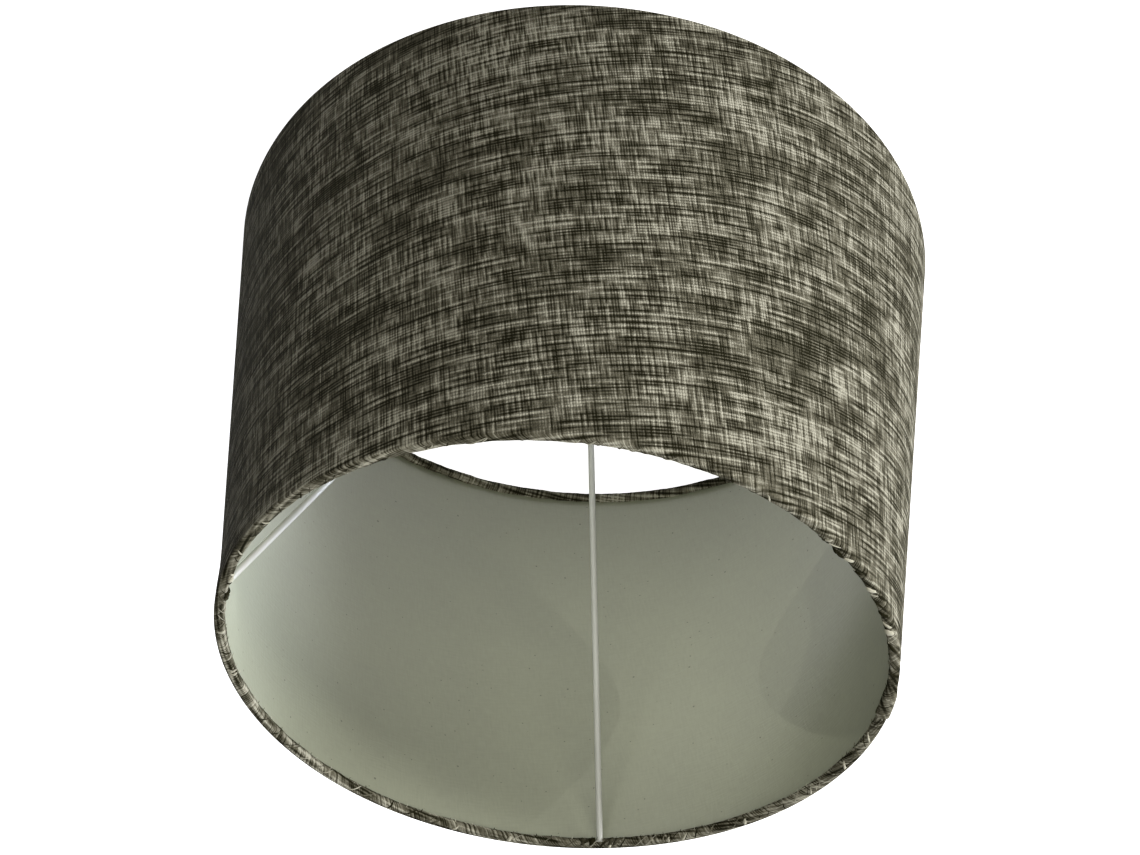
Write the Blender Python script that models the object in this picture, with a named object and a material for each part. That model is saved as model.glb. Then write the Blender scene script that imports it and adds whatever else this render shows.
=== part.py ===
"""A tapered drum lamp shade, standing on its wide end.

A linen cover is lapped at one seam and turned in round two wire rings. A stiff lining
stands inside it, between the cover and the rings. Three wire arms run down from the
narrow top ring to a flat fitter ring on the axis, which a lampholder clamps just above
the base.

Metres, +Z up, origin at the centre of the base.
"""

import math

import bmesh
import bpy
from mathutils import Matrix, Vector

MM = 0.001

# Driving dimensions
HEIGHT = 212 * MM
BOTTOM_RADIUS = 150 * MM
TOP_RADIUS = 130 * MM
FABRIC = 0.5 * MM
LINING = 0.35 * MM
RING_WIRE = 2.4 * MM
ARM_WIRE = 2.8 * MM
GAP = 0.2 * MM

FITTER_HOLE_RADIUS = 21 * MM
FITTER_RIM_RADIUS = 28 * MM
FITTER_THICKNESS = 1.6 * MM
FITTER_TOP = 15.0 * MM
FITTER_EDGE = 0.4 * MM

ARM_AZIMUTHS = (100, 220, 345)
ARM_FOOT_RADIUS = 22.6 * MM
ARM_BEND_RADIUS = 27 * MM
ARM_BEND_FILLET = 5 * MM
ARM_BEND_STEPS = 6
ARM_SLIT = 3.8 * MM

SEAM_STATION = 35
SEAM_GAP = 0.3 * MM
SEAM_ROOT_TURN = 1.2
SEAM_CLEAR_OF_HEM = 6 * MM
LINING_INSET = 1.0 * MM

SIDES = 72
WIRE_SIDES = 10
FITTER_SIDES = 48
ROLL_STEPS = 6
CORNER_STEPS = 3
CORNER_RADIUS = 0.8 * MM

# What follows from them
STEP_ANGLE = 360 / SIDES
TAPER = (BOTTOM_RADIUS - TOP_RADIUS) / HEIGHT
SECANT = math.hypot(1, TAPER)
ROLL_RADIUS = RING_WIRE / 2 + GAP + FABRIC / 2
BEHIND_LINING = FABRIC / 2 + GAP + LINING + GAP
RING_RISE = FABRIC / 2 + ROLL_RADIUS
BOTTOM_MIDDLE = BOTTOM_RADIUS - FABRIC / 2 * SECANT
TOP_MIDDLE = TOP_RADIUS - FABRIC / 2 * SECANT
SEAM_AZIMUTH = SEAM_STATION * STEP_ANGLE


def clear_scene():
    for obj in list(bpy.data.objects):
        bpy.data.objects.remove(obj, do_unlink=True)


def material(name, color, roughness, metallic=0.0):
    mat = bpy.data.materials.new(name)
    mat.use_nodes = True
    shader = mat.node_tree.nodes["Principled BSDF"]
    shader.inputs["Base Color"].default_value = (*color, 1)
    shader.inputs["Roughness"].default_value = roughness
    shader.inputs["Metallic"].default_value = metallic
    mat.diffuse_color = (*color, 1)
    return mat


def add_object(name, mesh, mat):
    obj = bpy.data.objects.new(name, mesh)
    bpy.context.scene.collection.objects.link(obj)
    mesh.materials.append(mat)
    return obj


def mesh_from(bm, name, smooth_angle=40):
    mesh = bpy.data.meshes.new(name)
    bm.normal_update()
    bm.to_mesh(mesh)
    bm.free()
    mesh.shade_smooth()
    mesh.set_sharp_from_angle(angle=math.radians(smooth_angle))
    return mesh


def wall_radius(z, inward=0.0):
    """Radius of the cover's outer face at height z, less a depth measured into the wall."""
    return BOTTOM_RADIUS - TAPER * z - inward * SECANT


def turned(outline, sides=SIDES):
    """A closed (radius, z) outline, run anticlockwise, turned about Z."""
    bm = bmesh.new()
    rings = []
    for side in range(sides):
        angle = math.tau * side / sides
        rings.append([bm.verts.new((r * math.cos(angle), r * math.sin(angle), z)) for r, z in outline])
    for side, ring in enumerate(rings):
        following = rings[(side + 1) % sides]
        for i, corner in enumerate(ring):
            j = (i + 1) % len(ring)
            bm.faces.new((corner, following[i], following[j], ring[j]))
    bmesh.ops.recalc_face_normals(bm, faces=bm.faces)
    return bm


def arc(centre, radius, start, end, steps):
    return [
        (
            centre[0] + radius * math.cos(math.radians(start + (end - start) * i / steps)),
            centre[1] + radius * math.sin(math.radians(start + (end - start) * i / steps)),
        )
        for i in range(steps + 1)
    ]


def ring_depth(lean):
    """Depth of a ring's middle from the wall's middle line at the edge."""
    return BEHIND_LINING * SECANT + RING_WIRE / 2 + lean * RING_RISE


def tuck_depth(lean):
    """Depth at which the turned-in edge stops, just inside the lining."""
    return BEHIND_LINING * SECANT + lean * (RING_RISE + ROLL_RADIUS)


def hem_line(lean):
    """The middle line of the cover from the wall, round the ring and back to the lining.

    Points are (depth in from the wall's middle line at the edge, distance from the edge).
    lean is how far the wall moves in for each unit away from the edge.
    """
    corner_rise = FABRIC / 2 + CORNER_RADIUS
    corner = (lean * corner_rise + CORNER_RADIUS * SECANT, corner_rise)
    roll = (ring_depth(lean), RING_RISE)
    first = math.degrees(math.atan2(lean, -1))
    return [
        *arc(corner, CORNER_RADIUS, first % 360, 270, CORNER_STEPS),
        *arc(roll, ROLL_RADIUS, 270, 450, ROLL_STEPS),
        (tuck_depth(lean), RING_RISE + ROLL_RADIUS),
    ]


def offset(points, distance):
    """The open line moved to its left by distance, keeping its corners."""
    moved = []
    for i, point in enumerate(points):
        before = Vector(points[max(i - 1, 0)])
        after = Vector(points[min(i + 1, len(points) - 1)])
        here = Vector(point)
        normals = [
            Vector((-(b - a).y, (b - a).x)).normalized()
            for a, b in ((before, here), (here, after))
            if (b - a).length > 0
        ]
        normal = sum(normals, Vector((0, 0))).normalized()
        stretch = distance / normal.dot(normals[0])
        moved.append((here.x + normal.x * stretch, here.y + normal.y * stretch))
    return moved


def cover_outline():
    """The cover's section: both hems and the wall between them, as one closed ribbon."""
    bottom = [(BOTTOM_MIDDLE - u, v) for u, v in hem_line(TAPER)]
    top = [(TOP_MIDDLE - u, HEIGHT - v) for u, v in hem_line(-TAPER)]
    line = bottom[::-1] + top
    return offset(line, -FABRIC / 2) + offset(line, FABRIC / 2)[::-1]


def add_cutter(name, bm):
    cutter = bpy.data.objects.new(name, mesh_from(bm, name))
    bpy.context.scene.collection.objects.link(cutter)
    cutter.hide_render = True
    cutter.display_type = "WIRE"
    return cutter


def combine(obj, other, operation):
    modifier = obj.modifiers.new(other.name, "BOOLEAN")
    modifier.operation = operation
    modifier.object = other
    modifier.solver = "EXACT"


def box_cutter(name, radii, width, heights, azimuth):
    """A box between two radii and two heights, centred on an azimuth in degrees."""
    bm = bmesh.new()
    bmesh.ops.create_cube(bm, size=1)
    size = (radii[1] - radii[0], width, heights[1] - heights[0])
    bmesh.ops.scale(bm, vec=size, verts=bm.verts)
    bmesh.ops.translate(bm, vec=(sum(radii) / 2, 0, sum(heights) / 2), verts=bm.verts)
    bmesh.ops.rotate(bm, matrix=Matrix.Rotation(math.radians(azimuth), 3, "Z"), verts=bm.verts)
    return add_cutter(name, bm)


def seam_cutter():
    """A thin radial blade at the seam, through the cover and the lining."""
    radii = (TOP_RADIUS - 8 * MM, BOTTOM_RADIUS + 8 * MM)
    heights = (-5 * MM, HEIGHT + 5 * MM)
    return box_cutter("seam_cutter", radii, SEAM_GAP, heights, SEAM_AZIMUTH)


def seam_tongue():
    """The end of the cover that laps one side outside the other end, and is one with it at its root."""
    plan = [
        (SEAM_AZIMUTH - STEP_ANGLE, GAP),
        (SEAM_AZIMUTH + 0.2, GAP),
        (SEAM_AZIMUTH + 0.2, -FABRIC / 2),
        (SEAM_AZIMUTH + SEAM_ROOT_TURN, -FABRIC / 2),
        (SEAM_AZIMUTH + SEAM_ROOT_TURN * 2, -FABRIC / 2),
        (SEAM_AZIMUTH + SEAM_ROOT_TURN, GAP + FABRIC),
        (SEAM_AZIMUTH, GAP + FABRIC),
        (SEAM_AZIMUTH - STEP_ANGLE, GAP + FABRIC),
    ]
    bm = bmesh.new()
    levels = []
    for z in (SEAM_CLEAR_OF_HEM, HEIGHT - SEAM_CLEAR_OF_HEM):
        level = []
        for azimuth, outward in plan:
            # The wall is flat between stations, so a point between two lies on their chord.
            into_facet = (azimuth - SEAM_AZIMUTH) % STEP_ANGLE - STEP_ANGLE / 2
            chord = math.cos(math.radians(STEP_ANGLE / 2)) / math.cos(math.radians(into_facet))
            radius = wall_radius(z) * chord + outward
            angle = math.radians(azimuth)
            level.append(bm.verts.new((radius * math.cos(angle), radius * math.sin(angle), z)))
        levels.append(level)
    low, high = levels
    count = len(plan)
    for i in range(count):
        j = (i + 1) % count
        bm.faces.new((low[i], low[j], high[j], high[i]))
    bm.faces.new(low)
    bm.faces.new(high)
    bmesh.ops.recalc_face_normals(bm, faces=bm.faces)
    bmesh.ops.triangulate(bm, faces=bm.faces)
    return add_cutter("seam_tongue", bm)


def ring_centre(at_top):
    """(radius, z) of a ring wire's middle."""
    if at_top:
        return TOP_MIDDLE - ring_depth(-TAPER), HEIGHT - RING_RISE
    return BOTTOM_MIDDLE - ring_depth(TAPER), RING_RISE


def arm_line():
    """The middle line of one arm in the (radius, z) plane, from the top ring to its foot."""
    ring = Vector(ring_centre(at_top=True))
    foot_z = FITTER_TOP + GAP + ARM_WIRE / 2
    bend = Vector((ARM_BEND_RADIUS, foot_z))
    foot = Vector((ARM_FOOT_RADIUS, foot_z))
    down = (bend - ring).normalized()
    start = ring + down * (RING_WIRE / 2 + GAP)
    half_turn = down.angle(foot - bend) / 2
    reach = min(ARM_BEND_FILLET * math.tan(half_turn), (foot - bend).length * 0.9)
    enter = bend - down * reach
    leave = bend + (foot - bend).normalized() * reach
    curve = [
        enter * (1 - t) ** 2 + bend * 2 * t * (1 - t) + leave * t**2
        for t in (i / ARM_BEND_STEPS for i in range(ARM_BEND_STEPS + 1))
    ]
    return [start, *curve, foot]


def arm_azimuth(index):
    """In degrees."""
    return ARM_AZIMUTHS[index]


def slit_cutter(index):
    """The slit in the top hem's turned-in edge, from its end round to the inner side of the ring."""
    tuck_end = TOP_MIDDLE - tuck_depth(-TAPER)
    radii = (tuck_end - 8 * MM, tuck_end + GAP / 2)
    heights = (HEIGHT - 8 * MM, HEIGHT - RING_RISE)
    return box_cutter(f"slit_cutter_{index + 1}", radii, ARM_SLIT, heights, arm_azimuth(index))


def make_cover(mat, cutter):
    cover = add_object("fabric_cover", mesh_from(turned(cover_outline()), "fabric_cover"), mat)
    combine(cover, cutter, "DIFFERENCE")
    combine(cover, seam_tongue(), "UNION")
    for index in range(len(ARM_AZIMUTHS)):
        combine(cover, slit_cutter(index), "DIFFERENCE")


def make_lining(mat, cutter):
    outer = FABRIC + GAP
    inner = outer + LINING
    low, high = LINING_INSET, HEIGHT - LINING_INSET
    outline = [
        (wall_radius(low, inner), low),
        (wall_radius(low, outer), low),
        (wall_radius(high, outer), high),
        (wall_radius(high, inner), high),
    ]
    lining = add_object("lining_panel", mesh_from(turned(outline), "lining_panel"), mat)
    combine(lining, cutter, "DIFFERENCE")


def make_ring(name, at_top, mat):
    radius, z = ring_centre(at_top)
    outline = arc((radius, z), RING_WIRE / 2, 0, 360, WIRE_SIDES)[:-1]
    add_object(name, mesh_from(turned(outline), name, 60), mat)


def make_arm(index, mat):
    name = f"fitter_arm_{index + 1}"
    curve = bpy.data.curves.new(name, "CURVE")
    curve.dimensions = "3D"
    curve.bevel_depth = ARM_WIRE / 2
    curve.bevel_resolution = 4
    curve.use_fill_caps = True
    spline = curve.splines.new("POLY")
    points = arm_line()
    spline.points.add(len(points) - 1)
    for knot, point in zip(spline.points, points):
        knot.co = (point.x, 0, point.y, 1)
    arm = bpy.data.objects.new(name, curve)
    bpy.context.scene.collection.objects.link(arm)
    arm.rotation_euler.z = math.radians(arm_azimuth(index))
    curve.materials.append(mat)


def make_fitter_ring(mat):
    """The stamped ring that a lampholder clamps, with eased edges."""
    low, high = FITTER_TOP - FITTER_THICKNESS, FITTER_TOP
    inner, outer, edge = FITTER_HOLE_RADIUS, FITTER_RIM_RADIUS, FITTER_EDGE
    outline = [
        (inner + edge, low),
        (outer - edge, low),
        (outer, low + edge),
        (outer, high - edge),
        (outer - edge, high),
        (inner + edge, high),
        (inner, high - edge),
        (inner, low + edge),
    ]
    add_object("fitter_ring", mesh_from(turned(outline, FITTER_SIDES), "fitter_ring", 30), mat)


def main():
    clear_scene()
    linen = material("slub_linen", (0.14, 0.135, 0.11), 0.95)
    liner = material("grey_liner", (0.29, 0.30, 0.24), 0.85)
    enamel = material("white_enamel", (0.78, 0.79, 0.72), 0.35)

    cutter = seam_cutter()
    make_cover(linen, cutter)
    make_lining(liner, cutter)
    make_ring("top_ring", True, enamel)
    make_ring("bottom_ring", False, enamel)
    for index in range(len(ARM_AZIMUTHS)):
        make_arm(index, enamel)
    make_fitter_ring(enamel)


main()
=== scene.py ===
"""Looks of a tapered drum lamp shade: slub linen over two rings, a grey lining and white wires."""

import math

import bpy
import numpy as np
from mathutils import Matrix, Vector


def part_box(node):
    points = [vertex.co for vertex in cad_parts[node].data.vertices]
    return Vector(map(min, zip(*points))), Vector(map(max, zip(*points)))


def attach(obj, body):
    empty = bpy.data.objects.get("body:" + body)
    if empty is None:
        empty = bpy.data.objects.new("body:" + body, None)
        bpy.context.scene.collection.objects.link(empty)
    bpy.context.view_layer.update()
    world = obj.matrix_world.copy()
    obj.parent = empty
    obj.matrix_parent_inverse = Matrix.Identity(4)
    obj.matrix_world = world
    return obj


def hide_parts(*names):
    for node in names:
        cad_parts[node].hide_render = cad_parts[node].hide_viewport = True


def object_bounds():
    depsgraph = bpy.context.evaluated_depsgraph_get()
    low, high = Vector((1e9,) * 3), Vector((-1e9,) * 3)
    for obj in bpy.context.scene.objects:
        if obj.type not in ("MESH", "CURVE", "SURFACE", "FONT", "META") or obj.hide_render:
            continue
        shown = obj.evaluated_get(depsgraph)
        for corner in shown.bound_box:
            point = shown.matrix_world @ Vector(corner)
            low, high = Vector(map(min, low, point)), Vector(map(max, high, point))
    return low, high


bl_info = {
    "name": "Tapered Lamp Shade",
    "version": (1, 0, 0),
    "blender": (4, 5, 0),
    "location": "3D View > Sidebar > Lamp Shade",
    "description": "Makes the linen cover, lining, wires and stage of a tapered lamp shade",
    "category": "Object",
}

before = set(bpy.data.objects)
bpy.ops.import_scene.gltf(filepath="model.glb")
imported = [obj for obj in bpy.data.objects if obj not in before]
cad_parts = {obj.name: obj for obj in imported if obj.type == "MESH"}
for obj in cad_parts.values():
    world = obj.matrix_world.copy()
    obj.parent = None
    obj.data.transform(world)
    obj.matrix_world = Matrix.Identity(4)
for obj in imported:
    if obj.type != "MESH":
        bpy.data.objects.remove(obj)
CAD_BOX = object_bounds()

MM = 0.001
GAP = 0.2 * MM
CLOTH_MAP = "cloth"
PANEL_MAP = "panel"
STRAND_MAP = "strand"
BAKE_MAP = "OFBake"
ARMS = ("fitter_arm_1", "fitter_arm_2", "fitter_arm_3")
PALE_KNOT_ARM = "fitter_arm_3"
LIT_INSIDE = "lit_inside"


# --- Sizes read from the frame ----------------------------------------------------------------


def ring_of(node):
    """The radius and height of a ring's middle line, and its wire's diameter, from its box."""
    low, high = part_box(node)
    wire = high.z - low.z
    return (high.x - low.x - wire) / 2, (high.z + low.z) / 2, wire


def azimuth_of(node):
    """Azimuth of a node's middle, in radians."""
    low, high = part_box(node)
    middle = (low + high) / 2
    return math.atan2(middle.y, middle.x)


class Shade:
    """The shade's main sizes, in metres."""

    height = CAD_BOX[1].z
    wide_radius, wide_z, wire = ring_of("bottom_ring")
    narrow_radius, narrow_z, _ = ring_of("top_ring")
    taper = (wide_radius - narrow_radius) / (narrow_z - wide_z)
    secant = math.hypot(1, taper)
    sine = taper / secant
    arm_azimuths = [azimuth_of(name) for name in ARMS]
    panel_low, panel_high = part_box("lining_panel")
    fitter_low, fitter_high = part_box("fitter_ring")


# --- Settings ---------------------------------------------------------------------------------


class ClothSettings(bpy.types.PropertyGroup):
    """The linen cover and how it is made up."""

    thickness: bpy.props.FloatProperty(
        name="Thickness", description="Thickness of the linen", default=0.5 * MM, unit="LENGTH"
    )
    lap_edge: bpy.props.FloatProperty(
        name="Lap edge",
        description="Azimuth of the seam's outer raw edge",
        default=math.radians(170.5),
        unit="ROTATION",
    )
    lap: bpy.props.FloatProperty(
        name="Lap",
        description="How far the seam laps, as an angle",
        default=math.radians(5.5),
        unit="ROTATION",
    )
    columns: bpy.props.IntProperty(
        name="Columns",
        description="Divisions round the cloth",
        default=640,
        min=72,
    )
    wall_rows: bpy.props.IntProperty(
        name="Wall rows",
        description="Divisions up the wall",
        default=36,
        min=4,
    )
    rumple: bpy.props.FloatProperty(
        name="Rumple",
        description="How far the hems wander from a true roll",
        default=0.32 * MM,
        unit="LENGTH",
    )
    warp_pitch: bpy.props.FloatProperty(
        name="Warp pitch",
        description="Distance between upright threads",
        default=1.05 * MM,
        unit="LENGTH",
    )
    weft_pitch: bpy.props.FloatProperty(
        name="Weft pitch",
        description="Distance between threads that run round",
        default=1.36 * MM,
        unit="LENGTH",
    )
    skew: bpy.props.FloatProperty(
        name="Skew",
        description="Rise of the crosswise threads for each unit along the cloth",
        default=0.05,
    )
    ivory: bpy.props.FloatVectorProperty(
        name="Ivory thread",
        description="Colour of the pale threads",
        subtype="COLOR",
        default=(0.53, 0.51, 0.41),
    )
    olive: bpy.props.FloatVectorProperty(
        name="Olive ground",
        description="Colour of the cloth between them",
        subtype="COLOR",
        default=(0.146, 0.136, 0.096),
    )
    charcoal: bpy.props.FloatVectorProperty(
        name="Charcoal thread",
        description="Colour of the dark threads",
        subtype="COLOR",
        default=(0.014, 0.013, 0.005),
    )


class LiningSettings(bpy.types.PropertyGroup):
    """The stiff lining."""

    thickness: bpy.props.FloatProperty(
        name="Thickness", description="Thickness of the lining", default=0.35 * MM, unit="LENGTH"
    )
    color: bpy.props.FloatVectorProperty(
        name="Colour",
        description="Colour of the lining's face",
        subtype="COLOR",
        default=(0.283, 0.293, 0.21),
    )


class WireSettings(bpy.types.PropertyGroup):
    """The rings, the arms and the fitter."""

    arm_wire: bpy.props.FloatProperty(
        name="Arm wire", description="Diameter of the arms' wire", default=2.8 * MM, unit="LENGTH"
    )
    bend: bpy.props.FloatProperty(
        name="Bend",
        description="Radius from the axis at which an arm turns in to its foot",
        default=27 * MM,
        unit="LENGTH",
    )
    fillet: bpy.props.FloatProperty(
        name="Bend radius", description="Radius of that turn", default=9 * MM, unit="LENGTH"
    )
    hole: bpy.props.FloatProperty(
        name="Fitter hole",
        description="Radius of the lampholder's hole",
        default=21 * MM,
        unit="LENGTH",
    )
    enamel: bpy.props.FloatVectorProperty(
        name="Enamel",
        description="Colour of the powder coat",
        subtype="COLOR",
        default=(0.60, 0.605, 0.56),
    )


class FormSettings(bpy.types.PropertyGroup):
    """How the made-up shade departs from a true cone."""

    oval: bpy.props.FloatProperty(
        name="Oval",
        description="How far the narrow ring is out of round",
        default=2.38 * MM,
        unit="LENGTH",
    )
    oval_azimuth: bpy.props.FloatProperty(
        name="Oval azimuth",
        description="Azimuth of the narrow ring's long axis",
        default=math.radians(135),
        unit="ROTATION",
    )
    bulge: bpy.props.FloatProperty(
        name="Bulge",
        description="Height of the local swelling of the narrow hem",
        default=1.4 * MM,
        unit="LENGTH",
    )
    bulge_azimuth: bpy.props.FloatProperty(
        name="Bulge azimuth",
        description="Azimuth of that swelling",
        default=math.radians(-18),
        unit="ROTATION",
    )


class StageSettings(bpy.types.PropertyGroup):
    """The floor, the lights and the camera."""

    floor_size: bpy.props.FloatProperty(
        name="Floor",
        description="Width of the floor",
        default=8.0,
        unit="LENGTH",
    )
    stand_off: bpy.props.FloatProperty(
        name="Stand-off",
        description="Camera's distance in front of the axis",
        default=0.7271,
        unit="LENGTH",
    )
    eye_rise: bpy.props.FloatProperty(
        name="Eye rise",
        description="Camera's height above the narrow edge",
        default=0.5375,
        unit="LENGTH",
    )
    tilt: bpy.props.FloatProperty(
        name="Tilt",
        description="How far the camera looks down",
        default=math.radians(42.21),
        unit="ROTATION",
    )
    turn: bpy.props.FloatProperty(
        name="Turn",
        description="How far the camera looks to one side",
        default=math.radians(0.109),
        unit="ROTATION",
    )
    roll: bpy.props.FloatProperty(
        name="Roll",
        description="Camera's turn about its own line of sight",
        default=math.radians(183.70),
        unit="ROTATION",
    )
    lens: bpy.props.FloatProperty(
        name="Lens",
        description="Focal length in millimetres",
        default=74.44,
    )
    key: bpy.props.FloatProperty(
        name="Key light",
        description="Power of the large soft light in watts",
        default=28.5,
    )
    fill: bpy.props.FloatProperty(
        name="Fill light",
        description="Power of the front fill in watts",
        default=20,
    )
    back: bpy.props.FloatProperty(
        name="Back light",
        description="Power of the light behind in watts",
        default=28,
    )
    glow: bpy.props.FloatProperty(
        name="Floor glow",
        description="Power of the light that comes back from the floor inside, in watts",
        default=0.006,
    )
    bounce: bpy.props.FloatProperty(
        name="Inner bounce",
        description="Power of the light that comes back from the lining, in watts",
        default=0.046,
    )
    side: bpy.props.FloatProperty(
        name="Inner side",
        description="Power of the cool light on the lining's near side, in watts",
        default=0.17,
    )
    sky: bpy.props.FloatProperty(
        name="Sky",
        description="Strength of the even light all round",
        default=0.028,
    )


SETTINGS = {
    "shade_cloth": ClothSettings,
    "shade_lining": LiningSettings,
    "shade_wire": WireSettings,
    "shade_form": FormSettings,
    "shade_stage": StageSettings,
}


# --- Shader nodes -----------------------------------------------------------------------------


class Value:
    """A socket that takes part in sums as a number does."""

    def __init__(self, finish, socket):
        self.finish, self.socket = finish, socket

    def worked(self, operation, *terms):
        return self.finish.node("Math", {"operation": operation}, dict(enumerate(terms)))

    def __add__(self, other):
        return self.worked("ADD", self, other)

    def __radd__(self, other):
        return self.worked("ADD", other, self)

    def __sub__(self, other):
        return self.worked("SUBTRACT", self, other)

    def __rsub__(self, other):
        return self.worked("SUBTRACT", other, self)

    def __mul__(self, other):
        return self.worked("MULTIPLY", self, other)

    def __rmul__(self, other):
        return self.worked("MULTIPLY", other, self)

    def __truediv__(self, other):
        return self.worked("DIVIDE", self, other)

    def __rtruediv__(self, other):
        return self.worked("DIVIDE", other, self)


class Finish:
    """A material, and the nodes that give its look."""

    def __init__(self, name):
        self.material = bpy.data.materials.new(name)
        self.material.use_nodes = True
        self.tree = self.material.node_tree
        self.shader = self.tree.nodes["Principled BSDF"]

    def node(self, kind, settings=None, inputs=None, output=0):
        """Adds a node, with its settings first, and gives back one of its outputs."""
        item = self.tree.nodes.new("ShaderNode" + kind)
        for key, value in (settings or {}).items():
            if key == "stops":
                ramp = item.color_ramp.elements
                while len(ramp) < len(value):
                    ramp.new(1.0)
                for stop, (position, color) in zip(ramp, value):
                    stop.position, stop.color = position, (*color, 1)
            else:
                setattr(item, key, value)
        for key, value in (inputs or {}).items():
            self.feed(item.inputs[key], value)
        return Value(self, item.outputs[output])

    def feed(self, socket, value):
        if isinstance(value, Value):
            self.tree.links.new(value.socket, socket)
        elif socket.type == "RGBA" and not isinstance(value, (int, float)):
            socket.default_value = (*value, 1)
        else:
            socket.default_value = value

    def set(self, **inputs):
        """Sets or feeds the shader's own sockets."""
        for key, value in inputs.items():
            self.feed(self.shader.inputs[key.replace("_", " ")], value)

    def split(self, vector):
        return [self.node("SeparateXYZ", None, {0: vector}, i) for i in range(3)]

    def mix(self, factor, first, second):
        """One colour, with another mixed over it by factor."""
        settings = {"data_type": "RGBA"}
        return self.node("Mix", settings, {0: factor, 6: first, 7: second}, 2)

    def noise(self, x, y, seed, detail=1.0, roughness=0.5):
        """Smooth noise with one cell to a unit of x and y."""
        at = self.node("CombineXYZ", None, {0: x, 1: y, 2: float(seed)})
        inputs = {"Vector": at, "Scale": 1.0, "Detail": detail, "Roughness": roughness}
        return self.node("TexNoise", {"noise_dimensions": "3D"}, inputs)

    def threads(self, across, along, seed):
        """A level for each thread, which drifts along it and is unlike the next one's."""
        apart = 7.37
        number = self.node("Math", {"operation": "FLOOR"}, {0: across})
        return self.noise(along, number * apart, seed)

    def core(self, across):
        """1 along the middle of each thread and 0 between threads."""
        part = self.node("Math", {"operation": "FRACT"}, {0: across}) - 0.5
        off_middle = self.node("Math", {"operation": "ABSOLUTE"}, {0: part})
        return self.ramp(off_middle, 0.1, 0.48, 1.0, 0.0)

    def ramp(self, value, low, high, to_low=0.0, to_high=1.0):
        """value eased from low to high, and held outside them."""
        inputs = {"Value": value, 1: low, 2: high, 3: to_low, 4: to_high}
        return self.node("MapRange", {"interpolation_type": "SMOOTHSTEP", "clamp": True}, inputs)

    def bump(self, height, distance, strength=1.0):
        inputs = {"Height": height, "Distance": distance, "Strength": strength}
        self.set(Normal=self.node("Bump", None, inputs, "Normal"))


def linen_colors():
    """The linen's dark, middle and pale colours."""
    cloth = bpy.context.scene.shade_cloth
    return [np.array(color) for color in (cloth.charcoal, cloth.olive, cloth.ivory)]


def linen_finish():
    """Slub linen: dark and pale threads both ways, each fading in and out along its length."""
    cloth = bpy.context.scene.shade_cloth
    f = Finish("slub_linen_weave")
    u, v, _ = f.split(f.node("UVMap", {"uv_map": CLOTH_MAP}))
    sway = f.noise(u * 16, v * 24, seed=3) - 0.5
    lean = f.noise(u * 24, v * 16, seed=7) - 0.5
    across = (v + u * cloth.skew + sway * (2.0 * MM)) / cloth.weft_pitch
    along = (u + lean * (1.6 * MM)) / cloth.warp_pitch

    cloud = f.noise(u * 26, v * 34, seed=11, detail=2.0) - 0.5
    patch = f.noise(u * 110, v * 120, seed=13) - 0.5
    fine = f.noise(along * 1.9, across * 1.9, seed=31) - 0.5

    # Thin threads run between the main ones, and keep their level for a shorter way.
    weft = f.threads(across, u / (26 * MM), seed=17)
    warp = f.threads(along, v / (13 * MM), seed=23)
    thin_weft = f.threads(across * 2 + 0.3, u / (12 * MM), seed=41)
    thin_warp = f.threads(along * 2 + 0.3, v / (7 * MM), seed=43)
    weft_core, warp_core = f.core(across), f.core(along)

    weft_dark = f.ramp(weft + cloud * 0.3, 0.38, 0.52, 1.0, 0.0) * weft_core
    weft_pale = f.ramp(weft + cloud * 0.3, 0.5, 0.64) * weft_core
    warp_dark = f.ramp(warp - cloud * 0.2 + patch * 0.2, 0.38, 0.53, 1.0, 0.0) * warp_core
    warp_pale = f.ramp(warp + cloud * 0.2, 0.51, 0.66) * warp_core

    # Each part lightens or darkens the cloth by its own weight.
    tone = 0.62 + cloud * 0.36 + patch * 0.47 + fine * 0.32
    tone = tone + (thin_weft + thin_warp - 1.0) * 0.5
    tone = tone - weft_dark * 0.46 - warp_dark * 0.36 + weft_pale * 0.3 + warp_pale * 0.24
    dark, olive, ivory = linen_colors()
    stops = [
        (0.12, dark),
        (0.38, 0.6 * dark + 0.4 * olive),
        (0.6, olive),
        (0.82, 0.5 * (olive + ivory)),
        (1.0, ivory),
    ]

    f.set(Base_Color=f.node("ValToRGB", {"stops": stops}, {0: tone}))
    f.set(Roughness=0.88 + fine * 0.2)
    f.set(Specular_IOR_Level=0.04)
    f.bump(weft_core * weft + warp_core * warp + fine, 0.3 * MM)
    return f.material


def strand_finish():
    """Loose yarn of the same linen, from charcoal to ivory by the strand, fibrous along it."""
    f = Finish("linen_strand")
    u, v, _ = f.split(f.node("UVMap", {"uv_map": STRAND_MAP}))
    fibre = f.noise(u * 14, v * 90, seed=51, detail=2.0) - 0.5
    patch = f.noise(u * 3, v * 40, seed=53) - 0.5
    tone = v + fibre * 0.35 + patch * 0.4
    dark, olive, ivory = linen_colors()
    stops = [(0.1, dark), (0.5, olive), (0.75, 0.45 * (olive + ivory)), (1.0, ivory)]
    f.set(Base_Color=f.node("ValToRGB", {"stops": stops}, {0: tone}))
    f.set(Roughness=0.9 + fibre * 0.15, Specular_IOR_Level=0.04)
    f.bump(fibre, 0.1 * MM)
    return f.material


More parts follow.
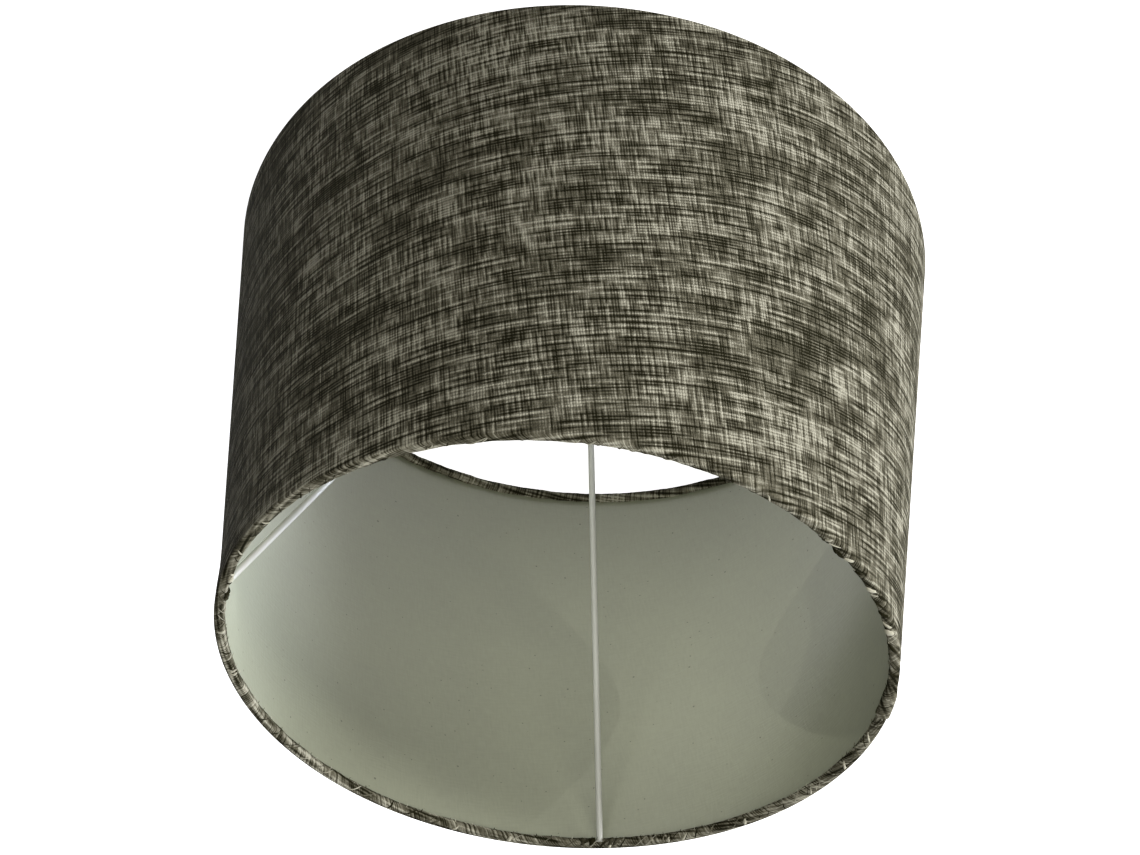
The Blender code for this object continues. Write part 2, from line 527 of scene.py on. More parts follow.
def lining_finish():
    """Sage-grey lining with a faint fine weave, soft mottling and a few specks."""
    lining = bpy.context.scene.shade_lining
    f = Finish("grey_lining_board")
    u, v, _ = f.split(f.node("UVMap", {"uv_map": PANEL_MAP}))
    mottle = f.noise(u * 30, v * 30, seed=2, detail=3.0) - 0.5
    fibre = f.noise(u / (0.9 * MM), v / (6 * MM), seed=5)
    cross = f.noise(u / (6 * MM), v / (0.9 * MM), seed=6)
    speck = f.ramp(f.noise(u / (1.6 * MM), v / (1.6 * MM), seed=9, detail=0.0), 0.83, 0.86)
    shade = 1.0 + mottle * 0.16 + (fibre - 0.5) * 0.14 + (cross - 0.5) * 0.12
    black, speck_color = (0.0, 0.0, 0.0), (0.05, 0.045, 0.03)
    color = f.mix(shade * 0.5, black, tuple(2 * c for c in lining.color))
    f.set(Base_Color=f.mix(speck * 0.7, color, speck_color))
    f.set(Roughness=0.34 + mottle * 0.08)
    f.set(Specular_IOR_Level=0.75)
    f.bump(fibre + cross, 0.06 * MM)
    return f.material


def enamel_finish():
    """White satin powder coat with a slight orange peel and a little dust."""
    wire = bpy.context.scene.shade_wire
    f = Finish("white_powder_coat")
    place = f.node("TexCoord", output="Object")
    peel = f.node("TexNoise", None, {"Vector": place, "Scale": 900.0, "Detail": 1.0})
    grime = f.node("TexNoise", None, {"Vector": place, "Scale": 45.0, "Detail": 2.0})
    dust = f.ramp(grime, 0.45, 0.75)
    dusty = tuple(c * 0.72 for c in wire.enamel)
    f.set(Base_Color=f.mix(dust * 0.3, tuple(wire.enamel), dusty))
    f.set(Roughness=0.32 + dust * 0.2 + (peel - 0.5) * 0.1)
    f.bump(peel, 0.03 * MM)
    return f.material


def finish_of(name, make):
    """A material by name, made the first time it is asked for."""
    return bpy.data.materials.get(name) or make()


def floor_finish():
    """A bright white floor."""
    f = Finish("white_floor")
    f.set(Base_Color=(0.9, 0.9, 0.9), Roughness=0.7)
    f.set(Emission_Color=(1.0, 1.0, 1.0), Emission_Strength=1.0)
    return f.material


# --- Form -------------------------------------------------------------------------------------


def wander(x, step, seed):
    """Smooth noise from -1 to 1 along x, with a knot every step."""
    count, start = 4096, 64
    knots = np.random.default_rng(seed).uniform(-1, 1, count)
    at = np.asarray(x, float) / step + start
    low = np.floor(at).astype(int)
    t = at - low
    t = t * t * (3 - 2 * t)
    return knots[low % count] * (1 - t) + knots[(low + 1) % count] * t


def turn_from(azimuth, other):
    """The signed angle to azimuth from other."""
    return (azimuth - other + math.pi) % math.tau - math.pi


def hump(distance, width):
    """A smooth hump of height 1."""
    return np.exp(-((distance / width) ** 2))


def swell(azimuth, z):
    """How far the made-up wall stands out from the true cone."""
    form = bpy.context.scene.shade_form
    up = np.clip(z / Shade.height, 0, 1)
    oval = form.oval * np.cos(2 * (azimuth - form.oval_azimuth)) * up
    side = hump(turn_from(azimuth, form.bulge_azimuth), math.radians(30))
    return oval + form.bulge * side * hump(Shade.height - z, 14 * MM)


def lining_depth(thickness, cloth):
    """Depth of a ring's outside behind the cloth's middle line, past the lining and two gaps."""
    return cloth / 2 + GAP + thickness + GAP


def cloth_radius(z):
    """Radius of the cloth's middle line on the true cone."""
    scene = bpy.context.scene
    depth = lining_depth(scene.shade_lining.thickness, scene.shade_cloth.thickness)
    at_ring = Shade.wide_radius + depth * Shade.secant + Shade.wire / 2
    return at_ring - Shade.taper * (z - Shade.wide_z)


def arc(centre, radius, start, end, steps):
    """Points along an arc between two angles in degrees."""
    turns = np.linspace(math.radians(start), math.radians(end), steps + 1)
    return [(centre[0] + radius * math.cos(t), centre[1] + radius * math.sin(t)) for t in turns]


def hem_line(at_narrow):
    """The cloth's middle line (radius, z) from the wall, round a ring, to its turned-in end."""
    scene = bpy.context.scene
    cloth = scene.shade_cloth.thickness
    lean = -Shade.taper if at_narrow else Shade.taper
    behind = lining_depth(scene.shade_lining.thickness, cloth) * Shade.secant
    roll = Shade.wire / 2 + GAP + cloth / 2
    rise = cloth / 2 + roll
    corner, tuck = 0.8 * MM, 1.1 * MM
    corner_rise = cloth / 2 + corner
    first = math.degrees(math.atan2(lean, -1)) % 360
    depth = behind + Shade.wire / 2 + lean * rise
    line = [
        *arc((lean * corner_rise + corner * Shade.secant, corner_rise), corner, first, 270, 4),
        *arc((depth, rise), roll, 270, 450, 10),
        (behind + lean * (rise + roll), rise + roll),
    ]
    if at_narrow:
        line.append((behind + lean * (rise + roll + tuck), rise + roll + tuck))
    edge = Shade.height if at_narrow else 0.0
    middle = cloth_radius(edge)
    return [(middle - u, edge - v if at_narrow else v) for u, v in line]


def cover_section():
    """The cloth's middle line (radius, z) from end to end, and how many points its wide hem has."""
    rows = bpy.context.scene.shade_cloth.wall_rows
    wide, narrow = hem_line(False)[::-1], hem_line(True)
    low, high = np.array(wide[-1]), np.array(narrow[0])
    wall = [low + (high - low) * i / rows for i in range(1, rows)]
    return np.array([*wide, *wall, *narrow]), len(wide)


def around(radius, azimuth, z):
    """Points from their polar places."""
    return np.stack([radius * np.cos(azimuth), radius * np.sin(azimuth), z], 1)


def select_only(obj):
    """Leaves obj selected and active, and nothing else."""
    bpy.ops.object.select_all(action="DESELECT")
    obj.select_set(True)
    bpy.context.view_layer.objects.active = obj


def pick_faces(obj, chosen):
    """Goes into edit mode with just these faces selected."""
    select_only(obj)
    bpy.ops.object.mode_set(mode="EDIT")
    bpy.ops.mesh.select_mode(type="FACE")
    bpy.ops.mesh.select_all(action="DESELECT")
    bpy.ops.object.mode_set(mode="OBJECT")
    obj.data.polygons.foreach_set("select", np.asarray(chosen, bool))
    bpy.ops.object.mode_set(mode="EDIT")


def new_piece(name):
    """Names the object that an operator has just added."""
    obj = bpy.context.object
    obj.name = obj.data.name = name
    return obj


def points_of(obj):
    found = np.empty(len(obj.data.vertices) * 3)
    obj.data.vertices.foreach_get("co", found)
    return found.reshape(-1, 3)


def put_points(obj, points):
    obj.data.vertices.foreach_set("co", np.asarray(points, np.float32).ravel())
    obj.data.update()


def add_grid(name, columns, rows):
    """A flat grid, and each vertex's column and row in it."""
    bpy.ops.object.select_all(action="DESELECT")
    bpy.ops.mesh.primitive_grid_add(x_subdivisions=columns, y_subdivisions=rows, size=1)
    obj = new_piece(name)
    at = points_of(obj)[:, :2] + 0.5
    return obj, np.rint(at[:, 0] * columns).astype(int), np.rint(at[:, 1] * rows).astype(int)


def add_map(obj, name, places):
    """Gives obj a UV map from one place for each vertex."""
    layer = obj.data.uv_layers.get(name) or obj.data.uv_layers.new(name=name)
    corners = np.empty(len(obj.data.loops), int)
    obj.data.loops.foreach_get("vertex_index", corners)
    layer.uv.foreach_set("vector", places[corners].astype(np.float32).ravel())


def apply_all(obj):
    select_only(obj)
    for modifier in list(obj.modifiers):
        bpy.ops.object.modifier_apply(modifier=modifier.name)


def wear(obj, *materials):
    obj.data.materials.clear()
    for material in materials:
        obj.data.materials.append(material)


def smooth(obj, angle=40):
    select_only(obj)
    bpy.ops.object.shade_smooth_by_angle(angle=math.radians(angle))


# --- Pieces -----------------------------------------------------------------------------------


class SHADE_OT_cover(bpy.types.Operator):
    """Make the linen cover: one flat cut of cloth, wrapped, lapped and rolled over both rings"""

    bl_idname = "lamp_shade.cover"
    bl_label = "Linen cover"

    def execute(self, context):
        cloth = context.scene.shade_cloth
        section, hem = cover_section()
        last = len(section) - 1
        obj, column, row = add_grid("linen_cover", cloth.columns, last)
        azimuth = cloth.lap_edge + (math.tau + cloth.lap) * column / cloth.columns
        put_points(obj, self.formed(cloth, section, hem, azimuth, row))

        steps = np.linalg.norm(np.diff(section, axis=0), axis=1)
        length = np.concatenate([[0], np.cumsum(steps)])
        slant = section[hem - 1, 0] / Shade.sine + length[hem - 1] - length
        into_hem = np.clip(length - length[last - hem + 1], 0, None)
        run = azimuth * section[row, 0]
        add_map(obj, CLOTH_MAP, self.flat_places(cloth, azimuth, slant, into_hem, row, run))

        corner = np.empty(len(obj.data.loops), int)
        obj.data.loops.foreach_get("vertex_index", corner)
        corner_column, corner_row = column[corner].reshape(-1, 4), row[corner].reshape(-1, 4)
        bake = self.bake_places(cloth.columns, corner_column, length[corner_row] / length[-1])
        layer = obj.data.uv_layers.new(name=BAKE_MAP)
        layer.uv.foreach_set("vector", bake.astype(np.float32).ravel())
        obj.data.uv_layers.remove(obj.data.uv_layers["UVMap"])
        self.slit(obj, cloth, last, corner_column.mean(1), corner_row.mean(1))

        wall_cloth = obj.modifiers.new("Cloth thickness", "SOLIDIFY")
        wall_cloth.thickness = cloth.thickness
        wall_cloth.offset = 0
        wall_cloth.use_rim = True
        apply_all(obj)
        smooth(obj, 60)
        wear(obj, finish_of("slub_linen_weave", linen_finish))

        sector = (math.tau + cloth.lap) * Shade.sine
        outer, inner = slant.max(), slant.min()
        area = sector / 2 * (outer**2 - inner**2)
        width = 2 * outer * math.sin(sector / 2)
        depth = outer - inner * math.cos(sector / 2)
        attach(obj, "root")
        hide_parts("fabric_cover")
        return {"FINISHED"}

    def formed(self, cloth, section, hem, azimuth, row):
        """Where the cloth's middle line lies, with its lap, its rumples and its hand-cut ends."""
        last = len(section) - 1
        radius, z = section[row].T
        travel = np.gradient(section, axis=0)
        travel /= np.linalg.norm(travel, axis=1)[:, None]
        tangent_r, tangent_z = travel[row].T
        out_r, out_z = tangent_z, -tangent_r

        # The outer end of the cloth lies on the other, and comes down to the ring's size past it.
        past = np.clip((azimuth - cloth.lap_edge - cloth.lap) / math.radians(3), 0, 1)
        lift = (cloth.thickness + GAP) * (1 - past**2 * (3 - 2 * past))

        # Both hems are rumpled, which grows over a few rows past the corner, and the wall is slack.
        run = azimuth * radius
        inset, growth = 4, 5
        beyond = np.maximum(hem - inset - row, row - (last - hem + inset))
        in_hem = np.clip(beyond / growth, 0, 1)
        folds = (
            0.5 * wander(run, 3.4 * MM, 5)
            + 0.5 * wander(run + 0.6 * z, 8 * MM, 6)
            + 0.35 * wander(run, 1.6 * MM, 7)
        )
        slack = 0.08 * MM * wander(run * 0.5, 16 * MM, 9) * wander(z, 30 * MM, 10)
        lift = lift + in_hem * cloth.rumple * (0.55 + folds) + (1 - in_hem) * slack

        # The turned-in ends are cut by hand.
        ends = np.where(row == 0, -1.0, np.where(row == last, 1.0, 0.0))
        cut = 0.35 * wander(run, 2.2 * MM, 12) + 0.45 * wander(run, 9 * MM, 13) - 0.1
        reach = ends * MM * cut
        radius = radius + out_r * lift + tangent_r * reach
        z = np.maximum(z + out_z * lift + tangent_z * reach, cloth.thickness / 2)
        return around(radius + swell(azimuth, z), azimuth, z)

    def flat_places(self, cloth, azimuth, slant, into_hem, row, run):
        """Each place on the flat cut, as a sector of a disc, from the middle of the cloth."""
        middle = cloth.lap_edge + (math.tau + cloth.lap) / 2
        # The narrow hem is rolled askew, so its threads cross it on the slant.
        askew = 0.95 * into_hem[row] / slant.mean() * (1 + 0.5 * wander(run, 45 * MM, 15))
        turn = (azimuth - middle) * Shade.sine + askew
        return np.stack([slant[row] * np.sin(turn), slant[row] * np.cos(turn) - slant.mean()], 1)

    def bake_places(self, columns, corner_column, up):
        """Places for baking, with the cloth cut in two strips, one above the other."""
        side, edge = 0.004, 0.003
        second = (corner_column.min(1) >= columns // 2)[:, None]
        across = (corner_column - second * (columns // 2)) / (columns / 2)
        x = side + (1 - 2 * side) * across
        return np.stack([x, edge + (0.5 - 2 * edge) * up + 0.5 * second], 2)

    def slit(self, obj, cloth, last, column, row):
        """Slits the narrow hem where an arm passes, wider towards the raw edge on one side."""
        hem_rows = 8
        azimuth = cloth.lap_edge + (math.tau + cloth.lap) * column / cloth.columns
        beyond = row - (last - hem_rows)
        cut = np.zeros(len(row), bool)
        for arm in Shade.arm_azimuths:
            side = turn_from(azimuth, arm)
            before = side > -np.radians(0.8 + 0.28 * beyond)
            cut |= (beyond > 0) & before & (side < math.radians(0.85))
        pick_faces(obj, cut)
        bpy.ops.mesh.delete(type="FACE")
        bpy.ops.object.mode_set(mode="OBJECT")


class SHADE_OT_lining(bpy.types.Operator):
    """Make the stiff lining, butted at the seam"""

    bl_idname = "lamp_shade.lining"
    bl_label = "Lining"

    def execute(self, context):
        scene = context.scene
        lining, cloth = scene.shade_lining, scene.shade_cloth
        columns, rows = 360, 30
        obj, column, row = add_grid("lining", columns, rows)
        seam = math.radians(175)
        slot = 0.15 * MM / Shade.wide_radius
        azimuth = seam + slot + (math.tau - 2 * slot) * column / columns
        z = Shade.panel_low.z + (Shade.panel_high.z - Shade.panel_low.z) * row / rows
        depth = cloth.thickness / 2 + GAP + lining.thickness / 2
        radius = cloth_radius(z) - depth * Shade.secant + swell(azimuth, z)
        ripple = 0.07 * MM * wander(azimuth * 0.14, 25 * MM, 31) * wander(z, 60 * MM, 32)
        radius = radius + ripple * np.sin(np.pi * row / rows)
        put_points(obj, around(radius, azimuth, z))
        slant = cloth_radius(z) / Shade.sine
        turn = (azimuth - seam - math.pi) * Shade.sine
        middle = 1.5
        add_map(obj, PANEL_MAP, np.stack([slant * np.sin(turn), slant * np.cos(turn) - middle], 1))
        obj.data.uv_layers.remove(obj.data.uv_layers["UVMap"])
        board = obj.modifiers.new("Board thickness", "SOLIDIFY")
        board.thickness = lining.thickness
        board.offset = 0
        apply_all(obj)
        smooth(obj)
        wear(obj, finish_of("grey_lining_board", lining_finish))
        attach(obj, "root")
        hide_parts("lining_panel")
        bpy.data.collections[LIT_INSIDE].objects.link(obj)
        return {"FINISHED"}


class SHADE_OT_rings(bpy.types.Operator):
    """Make the narrow ring, which has sprung a little oval, and coat the wide one"""

    bl_idname = "lamp_shade.rings"
    bl_label = "Rings"

    def execute(self, context):
        bpy.ops.object.select_all(action="DESELECT")
        bpy.ops.mesh.primitive_torus_add(
            major_radius=Shade.narrow_radius,
            minor_radius=Shade.wire / 2,
            major_segments=180,
            minor_segments=14,
            location=(0, 0, Shade.narrow_z),
        )
        obj = new_piece("narrow_ring")
        bpy.ops.object.transform_apply(location=True, rotation=True, scale=True)
        points = points_of(obj)
        azimuth = np.arctan2(points[:, 1], points[:, 0])
        out = swell(azimuth, Shade.narrow_z)
        points[:, 0] += out * np.cos(azimuth)
        points[:, 1] += out * np.sin(azimuth)
        put_points(obj, points)
        smooth(obj, 60)
        enamel = finish_of("white_powder_coat", enamel_finish)
        wear(obj, enamel)
        wear(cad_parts["bottom_ring"], enamel)
        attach(obj, "root")
        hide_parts("top_ring")
        return {"FINISHED"}


def sweep(line, width, corners=16):
    """A rod of this width along points in the XZ plane, with its rings square to the line."""
    heading = (line[1] - line[0]).normalized()
    bpy.ops.object.select_all(action="DESELECT")
    bpy.ops.mesh.primitive_circle_add(vertices=corners, radius=width / 2, fill_type="NGON")
    obj = new_piece("rod")
    turned = heading.to_track_quat("Z", "Y").to_matrix().to_4x4()
    obj.data.transform(Matrix.Translation(line[0]) @ turned)
    bpy.ops.object.mode_set(mode="EDIT")
    bpy.ops.mesh.select_mode(type="FACE")
    bpy.ops.mesh.select_all(action="SELECT")
    for here, there in zip(line, line[1:]):
        bpy.ops.mesh.extrude_region_move(TRANSFORM_OT_translate={"value": there - here})
    bpy.ops.mesh.select_all(action="SELECT")
    bpy.ops.mesh.normals_make_consistent(inside=False)
    bpy.ops.object.mode_set(mode="OBJECT")
    points = points_of(obj)
    for i, at in enumerate(line):
        before, after = line[max(i - 1, 0)], line[min(i + 1, len(line) - 1)]
        turned = np.array(heading.rotation_difference((after - before).normalized()).to_matrix())
        ring = slice(i * corners, (i + 1) * corners)
        points[ring] = (points[ring] - np.array(at)) @ turned.T + np.array(at)
    put_points(obj, points)
    return obj


class SHADE_OT_arms(bpy.types.Operator):
    """Make the three arms, bent from wire and welded under the narrow ring and on the fitter"""

    bl_idname = "lamp_shade.arms"
    bl_label = "Fitter arms"

    def execute(self, context):
        wire = context.scene.shade_wire
        enamel = finish_of("white_powder_coat", enamel_finish)
        for name, azimuth in zip(ARMS, Shade.arm_azimuths):
            line = self.path(wire, azimuth)
            obj = sweep(line, wire.arm_wire)
            self.add_beads(obj, line, wire.arm_wire)
            obj.data.transform(Matrix.Rotation(azimuth, 4, "Z"))
            obj.name = obj.data.name = name.replace("fitter_arm", "arm_wire")
            smooth(obj, 50)
            wear(obj, enamel)
            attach(obj, "root")
            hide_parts(name)
        return {"FINISHED"}

    def path(self, wire, azimuth):
        """An arm's middle line in the XZ plane, from its weld on the ring to its foot's end."""
        foot_length, straight_steps, turn_steps = 4.4 * MM, 6, 8
        foot_z = Shade.fitter_high.z + GAP + wire.arm_wire / 2
        ring_radius = Shade.narrow_radius + float(swell(azimuth, Shade.narrow_z))
        ring = Vector((ring_radius, 0, Shade.narrow_z))
        bend = Vector((wire.bend, 0, foot_z))
        foot = Vector((wire.bend - foot_length, 0, foot_z))
        down = (bend - ring).normalized()
        start = ring + down * (Shade.wire / 2 + GAP)
        half = down.angle(foot - bend) / 2
        reach = min(wire.fillet * math.tan(half), (foot - bend).length * 0.9)
        enter, leave = bend - down * reach, bend + (foot - bend).normalized() * reach
        line = [start.lerp(enter, i / straight_steps) for i in range(straight_steps)]
        for i in range(turn_steps + 1):
            t = i / turn_steps
            line.append(enter * (1 - t) ** 2 + bend * 2 * t * (1 - t) + leave * t**2)
        return [*line, foot]

    def add_beads(self, obj, line, wire):
        """Adds the weld at each end."""
        radius = wire / 2 * 1.25
        welds = (
            (line[-1] - Vector((0.5 * MM, 0, 0)), (1.1, 0.95, 0.75)),
            (line[0], (0.7, 0.8, 0.8)),
        )
        select_only(obj)
        bpy.ops.object.mode_set(mode="EDIT")
        for at, size in welds:
            bpy.ops.mesh.select_all(action="DESELECT")
            bpy.ops.mesh.primitive_uv_sphere_add(
                segments=16, ring_count=10, radius=radius, location=at
            )
            bpy.ops.transform.resize(value=size, center_override=at)
        bpy.ops.object.mode_set(mode="OBJECT")


# The largest slubs on the narrow hem: azimuth in degrees, tone and thickness.
SLUBS = (
    (195, 1.2, 2.3),
    (207, 1.15, 1.8),
    (216, 1.0, 1.4),
    (176, 0.95, 1.3),
    (222, 0.9, 1.2),
    (200, 0.08, 1.7),
    (203, 0.1, 1.4),
    (190.5, 0.08, 1.6),
    (183, 0.12, 1.4),
    (212, 0.1, 1.3),
)


class SHADE_OT_strands(bpy.types.Operator):
    """Make the loose yarns, slubs and frayed ends on the narrow hem, and the knots by the arms"""

    bl_idname = "lamp_shade.strands"
    bl_label = "Hem yarns"

    def execute(self, context):
        cloth = context.scene.shade_cloth
        rng = np.random.default_rng(77)
        outside = Shade.wire / 2 + GAP + cloth.thickness + 0.4 * cloth.rumple
        made = []

        def over(start, end, steps, rise=0.0):
            """A line over the rolled hem, at angles from outward by way of the top."""
            places = arc((0, 0), outside + rise, start, end, steps)
            return [Vector((r, 0, z)) for r, z in places]

        # Yarns that cross the roll on the slant.
        yarn = sweep(over(42, 196, 7), 0.42 * MM, 5)
        tones, chances = [0.12, 0.3, 0.55, 0.8, 1.0], [0.32, 0.2, 0.16, 0.18, 0.14]
        for azimuth in np.arange(0, 360, 2.6):
            if rng.random() < 0.25:
                continue
            tone = rng.choice(tones, p=chances)
            slant = rng.normal(1.3, 0.5)
            place, size = azimuth + rng.uniform(-1.1, 1.1), rng.uniform(0.6, 1.5)
            made.append(self.lay(yarn, 5, place, tone, size, slant, rng))

        # Slubs, the thick soft places.
        slub = sweep(over(60, 150, 6, 0.05 * MM), 0.95 * MM, 6)
        tones, chances = [0.95, 1.1, 0.3], [0.45, 0.3, 0.25]
        lumps = [
            (azimuth, rng.choice(tones, p=chances), rng.uniform(0.7, 1.2))
            for azimuth in rng.uniform(0, 360, 26)
        ]
        for azimuth, tone, size in (*lumps, *SLUBS):
            made.append(self.lay(slub, 6, azimuth, tone, size, rng.normal(0.8, 0.6), rng))

        # Knots of cut cloth beside each arm. One arm has pale ones on its other side.
        knot = sweep(over(118, 212, 6, 0.1 * MM), 1.2 * MM, 6)
        for name, arm in zip(ARMS, np.degrees(Shade.arm_azimuths)):
            mirror, pale = (-1, 1.1) if name == PALE_KNOT_ARM else (1, 0.25)
            knots = (
                (-1.4, 0.05, 1.6),
                (-2.3, 0.12, 1.4),
                (-3.2, 0.2, 1.1),
                (1.4, 0.15, 1.0),
                (2.3, pale, 1.4),
                (3.4, pale, 1.0),
            )
            for side, tone, size in knots:
                place, slant = arm + side * mirror, rng.normal(0.5, 0.8)
                made.append(self.lay(knot, 6, place, tone, size, slant, rng))

        # Frayed ends at the raw edge inside.
        droop = ((0.1, 0.0), (0.0, -0.6), (-0.15, -1.2), (-0.1, -1.7))
        tip = [Vector((-outside + x * MM, 0, z * MM)) for x, z in droop]
        fray = sweep(tip, 0.26 * MM, 4)
        for azimuth in np.arange(0, 360, 2.5) + rng.uniform(-1.2, 1.2, 144):
            tone = rng.choice([0.12, 0.4, 0.8, 1.0])
            size, slant = rng.uniform(0.5, 1.3), rng.normal(0.6, 0.6)
            made.append(self.lay(fray, 4, azimuth, tone, size, slant, rng))

        for start in (yarn, slub, knot, fray):
            bpy.data.objects.remove(start)
        bpy.ops.object.select_all(action="DESELECT")
        for strand in made:
            strand.select_set(True)
        context.view_layer.objects.active = made[0]
        bpy.ops.object.join()
        obj = new_piece("hem_yarns")
        smooth(obj, 70)
        wear(obj, finish_of("linen_strand", strand_finish))
        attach(obj, "root")
        return {"FINISHED"}

    def lay(self, start, corners, azimuth, tone, size, slant, rng):
        """A copy of a strand on the hem, thickened by size, leaning by slant, with thin ends."""
        obj = start.copy()
        obj.data = start.data.copy()
        bpy.context.collection.objects.link(obj)
        points = points_of(obj)
        rings = len(points) // corners
        middles = points.reshape(rings, corners, 3).mean(1).repeat(corners, 0)
        part = np.repeat(np.linspace(0, 1, rings), corners)

        ends = 0.35 + 0.65 * np.sin(np.pi * np.clip(part, 0.04, 0.96)) ** 0.7
        girth = size * ends * (1 + 0.25 * wander(part * 3, 1, rng.integers(99)))
        points = middles + (points - middles) * girth[:, None]
        from_ring = np.hypot(middles[:, 0], middles[:, 2])
        run = np.abs(np.arctan2(middles[:, 2], middles[:, 0])) * from_ring
        sway = 0.2 * MM * wander(part * 4, 1, rng.integers(99))
        points[:, 1] = points[:, 1] * 1.5 + slant * (part - 0.5) * np.ptp(run) + sway

        turned = math.radians(azimuth)
        radius = Shade.narrow_radius + points[:, 0] + swell(turned, Shade.narrow_z)
        place = turned + points[:, 1] / Shade.narrow_radius
        put_points(obj, around(radius, place, Shade.narrow_z + points[:, 2]))
        add_map(obj, STRAND_MAP, np.stack([part + azimuth, 0 * part + tone], 1))
        for layer in [name for name in obj.data.uv_layers.keys() if name != STRAND_MAP]:
            obj.data.uv_layers.remove(obj.data.uv_layers[layer])
        return obj


class SHADE_OT_fitter(bpy.types.Operator):
    """Make the stamped ring that a lampholder clamps"""

    bl_idname = "lamp_shade.fitter"
    bl_label = "Fitter ring"

    def execute(self, context):
        wire = context.scene.shade_wire
        low, high = Shade.fitter_low, Shade.fitter_high
        rim = (high.x - low.x) / 2
        bpy.ops.object.select_all(action="DESELECT")
        bpy.ops.mesh.primitive_cylinder_add(
            vertices=96,
            radius=rim,
            depth=high.z - low.z,
            location=(0, 0, (high.z + low.z) / 2),
            end_fill_type="NGON",
        )
        obj = new_piece("fitter_plate")
        bpy.ops.object.transform_apply(location=True, rotation=True, scale=True)
        pick_faces(obj, [abs(p.normal.z) > 0.9 for p in obj.data.polygons])
        bpy.ops.mesh.inset(thickness=rim - wire.hole)
        bpy.ops.mesh.bridge_edge_loops()
        bpy.ops.object.mode_set(mode="OBJECT")
        edge = obj.modifiers.new("Eased edges", "BEVEL")
        edge.width, edge.segments = 0.45 * MM, 4
        edge.limit_method, edge.angle_limit = "ANGLE", math.radians(50)
        apply_all(obj)
        smooth(obj, 50)
        wear(obj, finish_of("white_powder_coat", enamel_finish))
        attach(obj, "root")
        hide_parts("fitter_ring")
        return {"FINISHED"}


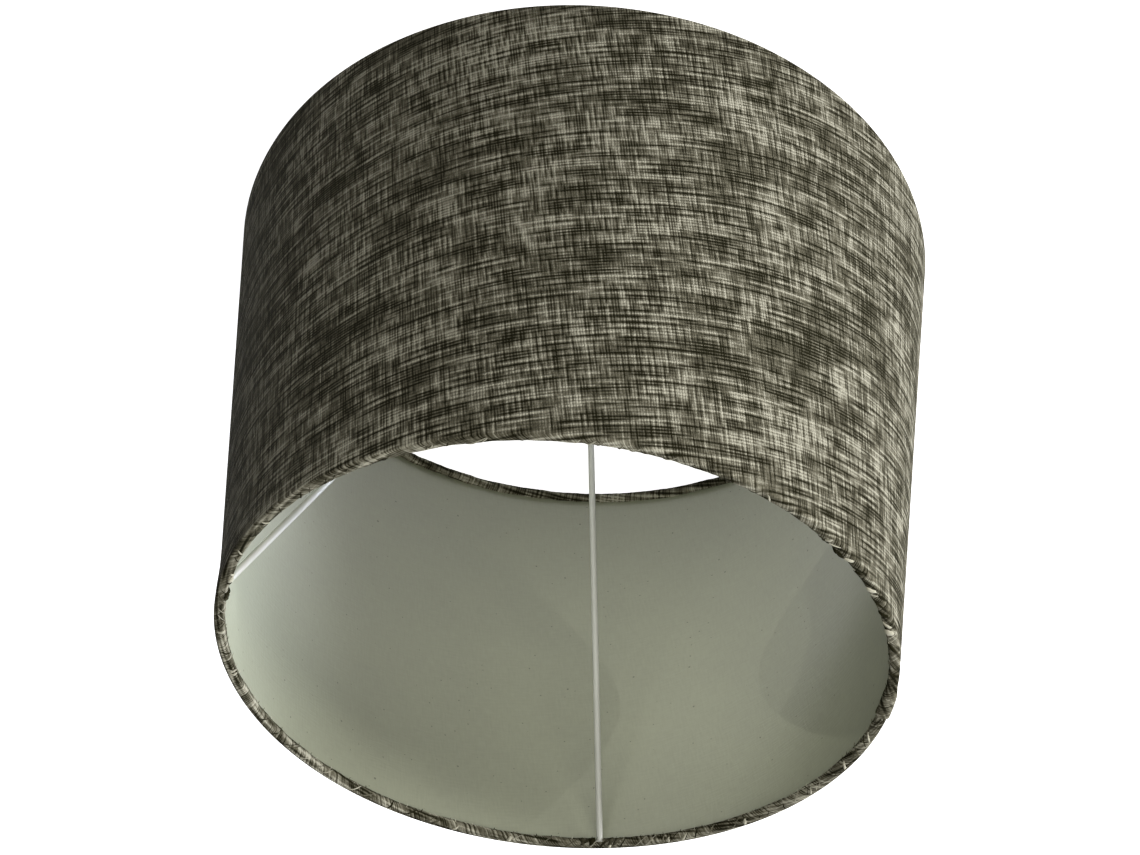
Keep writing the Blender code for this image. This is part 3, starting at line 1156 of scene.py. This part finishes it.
class SHADE_OT_stage(bpy.types.Operator):
    """Make the floor, the lights and the camera"""

    bl_idname = "lamp_shade.stage"
    bl_label = "Stage"

    def execute(self, context):
        scene, stage = context.scene, context.scene.shade_stage
        bpy.ops.object.select_all(action="DESELECT")
        bpy.ops.mesh.primitive_plane_add(size=stage.floor_size)
        floor = new_piece("floor")
        wear(floor, floor_finish())
        floor.visible_diffuse = False

        self.studio_light("key_light", stage.key, 195, 7, 1.7, (0.9, 0.35), (0.98, 0.985, 1.0))
        self.studio_light("fill_light", stage.fill, 256, 40, 1.8, (1.2, 1.2), (1.0, 0.985, 0.92))
        self.studio_light("back_light", stage.back, 112, 32, 1.9, (1.2, 1.2), (0.96, 0.98, 1.0))
        over_floor, upwards = Matrix.Translation((0, 0, 7 * MM)), Matrix.Rotation(math.pi, 4, "X")
        glow = self.light("floor_glow", stage.glow, over_floor @ upwards, (0.98, 1.0, 0.97))
        glow.data.shape, glow.data.size = "DISK", 0.24
        glow.visible_camera = False
        bpy.data.collections.new(LIT_INSIDE)
        self.inner_light("inner_bounce", stage.bounce, 122, 0.045, 92, (1.0, 1.0, 0.97))
        self.inner_light("inner_side", stage.side, 2, 0.1, 46, (0.80, 0.84, 1.0))
        self.sky(scene, stage.sky)
        scene.view_settings.view_transform = "Standard"
        scene.view_settings.look = "None"
        self.camera(scene, stage)
        return {"FINISHED"}

    def camera(self, scene, stage):
        """The camera, in front of the shade, above it and rolled over."""
        bpy.ops.object.select_all(action="DESELECT")
        bpy.ops.object.camera_add()
        camera = bpy.context.object
        camera.name = camera.data.name = "camera"
        camera.data.lens = stage.lens
        camera.data.sensor_width = 36
        camera.data.clip_start, camera.data.clip_end = 0.01, 50
        turned = Matrix.Rotation(-stage.turn, 4, "Z")
        turned = turned @ Matrix.Rotation(math.pi / 2 - stage.tilt, 4, "X")
        turned = turned @ Matrix.Rotation(stage.roll, 4, "Z")
        at = Vector((0, -stage.stand_off, Shade.height + stage.eye_rise))
        camera.matrix_world = Matrix.Translation(at) @ turned
        scene.camera = camera

    def sky(self, scene, strength):
        """A white backdrop that gives only a little even light."""
        scene.world = bpy.data.worlds.new("soft_sky")
        scene.world.use_nodes = True
        tree = scene.world.node_tree
        light, path = tree.nodes["Background"], tree.nodes.new("ShaderNodeLightPath")
        white = tree.nodes.new("ShaderNodeBackground")
        mixed = tree.nodes.new("ShaderNodeMixShader")
        for background in (light, white):
            background.inputs["Color"].default_value = (1.0, 1.0, 1.0, 1.0)
        light.inputs["Strength"].default_value = strength
        tree.links.new(path.outputs["Is Camera Ray"], mixed.inputs[0])
        tree.links.new(light.outputs[0], mixed.inputs[1])
        tree.links.new(white.outputs[0], mixed.inputs[2])
        tree.links.new(mixed.outputs[0], tree.nodes["World Output"].inputs["Surface"])

    def inner_light(self, name, power, azimuth, behind, spread, color):
        """A tall soft light inside the shade, as the lining throws back, from behind the axis.

        The wires are nearer to it than the lining is, so they take only a share of it.
        """
        a = math.radians(azimuth)
        side = Vector((math.cos(a), math.sin(a), 0))
        turned = (-side).to_track_quat("Z", "Y").to_matrix().to_4x4()
        at = Vector((0, 0, 0.58 * Shade.height)) - side * behind
        for kind, share in (("_shared", 0.35), ("_lining", 0.65)):
            place = Matrix.Translation(at) @ turned
            lamp = self.light(name + kind, power * share, place, color)
            lamp.data.shape, lamp.data.spread = "RECTANGLE", math.radians(spread)
            lamp.data.size, lamp.data.size_y = 0.06, 0.18
            lamp.visible_camera = False
        lamp.light_linking.receiver_collection = bpy.data.collections[LIT_INSIDE]

    def studio_light(self, name, power, azimuth, elevation, distance, size, color):
        """A large soft light outside, that faces the shade's middle."""
        a, e = math.radians(azimuth), math.radians(elevation)
        back = Vector((math.cos(a) * math.cos(e), math.sin(a) * math.cos(e), math.sin(e)))
        at = Vector((0, 0, Shade.height * 0.6)) + back * distance
        turned = back.to_track_quat("Z", "Y").to_matrix().to_4x4()
        lamp = self.light(name, power, Matrix.Translation(at) @ turned, color)
        lamp.data.shape = "RECTANGLE"
        lamp.data.size, lamp.data.size_y = size

    def light(self, name, power, place, color):
        """An area light that shines down its own axis."""
        bpy.ops.object.select_all(action="DESELECT")
        bpy.ops.object.light_add(type="AREA")
        lamp = bpy.context.object
        lamp.name = lamp.data.name = name
        lamp.data.energy, lamp.data.color = power, color
        lamp.matrix_world = place
        return lamp


STEPS = (
    SHADE_OT_stage,
    SHADE_OT_rings,
    SHADE_OT_lining,
    SHADE_OT_strands,
    SHADE_OT_cover,
    SHADE_OT_arms,
    SHADE_OT_fitter,
)


class SHADE_PT_panel(bpy.types.Panel):
    """The steps that make the lamp shade, in order"""

    bl_idname = "SHADE_PT_panel"
    bl_label = "Lamp Shade"
    bl_space_type = "VIEW_3D"
    bl_region_type = "UI"
    bl_category = "Lamp Shade"

    def draw(self, context):
        for step in STEPS:
            self.layout.operator(step.bl_idname)
        for name in SETTINGS:
            group = getattr(context.scene, name)
            box = self.layout.box()
            for key in type(group).__annotations__:
                box.prop(group, key)


def register():
    for cls in (*SETTINGS.values(), *STEPS, SHADE_PT_panel):
        bpy.utils.register_class(cls)
    for name, cls in SETTINGS.items():
        setattr(bpy.types.Scene, name, bpy.props.PointerProperty(type=cls))


def unregister():
    for name in SETTINGS:
        delattr(bpy.types.Scene, name)
    for cls in (SHADE_PT_panel, *reversed(STEPS), *reversed(SETTINGS.values())):
        bpy.utils.unregister_class(cls)


def main():
    register()
    for step in STEPS:
        group, name = step.bl_idname.split(".")
        getattr(getattr(bpy.ops, group), name)()


if __name__ == "__main__":
    main()
